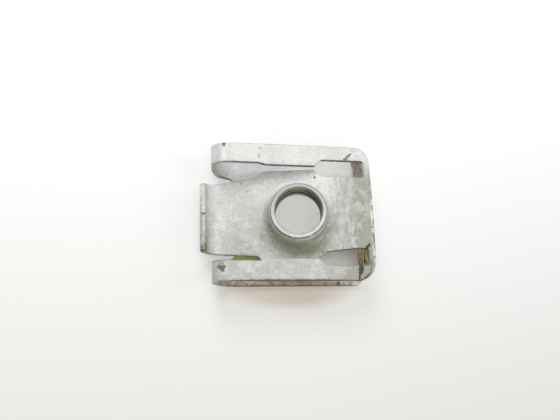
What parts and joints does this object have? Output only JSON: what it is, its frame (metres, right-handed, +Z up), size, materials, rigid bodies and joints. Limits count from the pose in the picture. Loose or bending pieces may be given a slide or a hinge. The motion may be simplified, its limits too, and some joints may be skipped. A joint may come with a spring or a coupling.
{
  "type": "u clip nut",
  "caption": "Pressed spring-steel U clip nut: a flat base plate folded over into side rails, with a sprung tongue that carries a threaded barrel and ends in an upturned lip.",
  "frame": {"origin": "centre of the screw clearance hole, on the underside of the flat base plate", "axes": "+X runs along the clip towards its closed end wall, +Y runs across it, +Z runs up from the base plate towards the threaded barrel"},
  "size_m": [0.0257, 0.0206, 0.0082],
  "materials": {
    "plated_steel": "matt zinc plate, worn and lightly rusted"
  },
  "bodies": {
    "root": {"clip_nut": "plated_steel"}
  },
  "joints": []
}
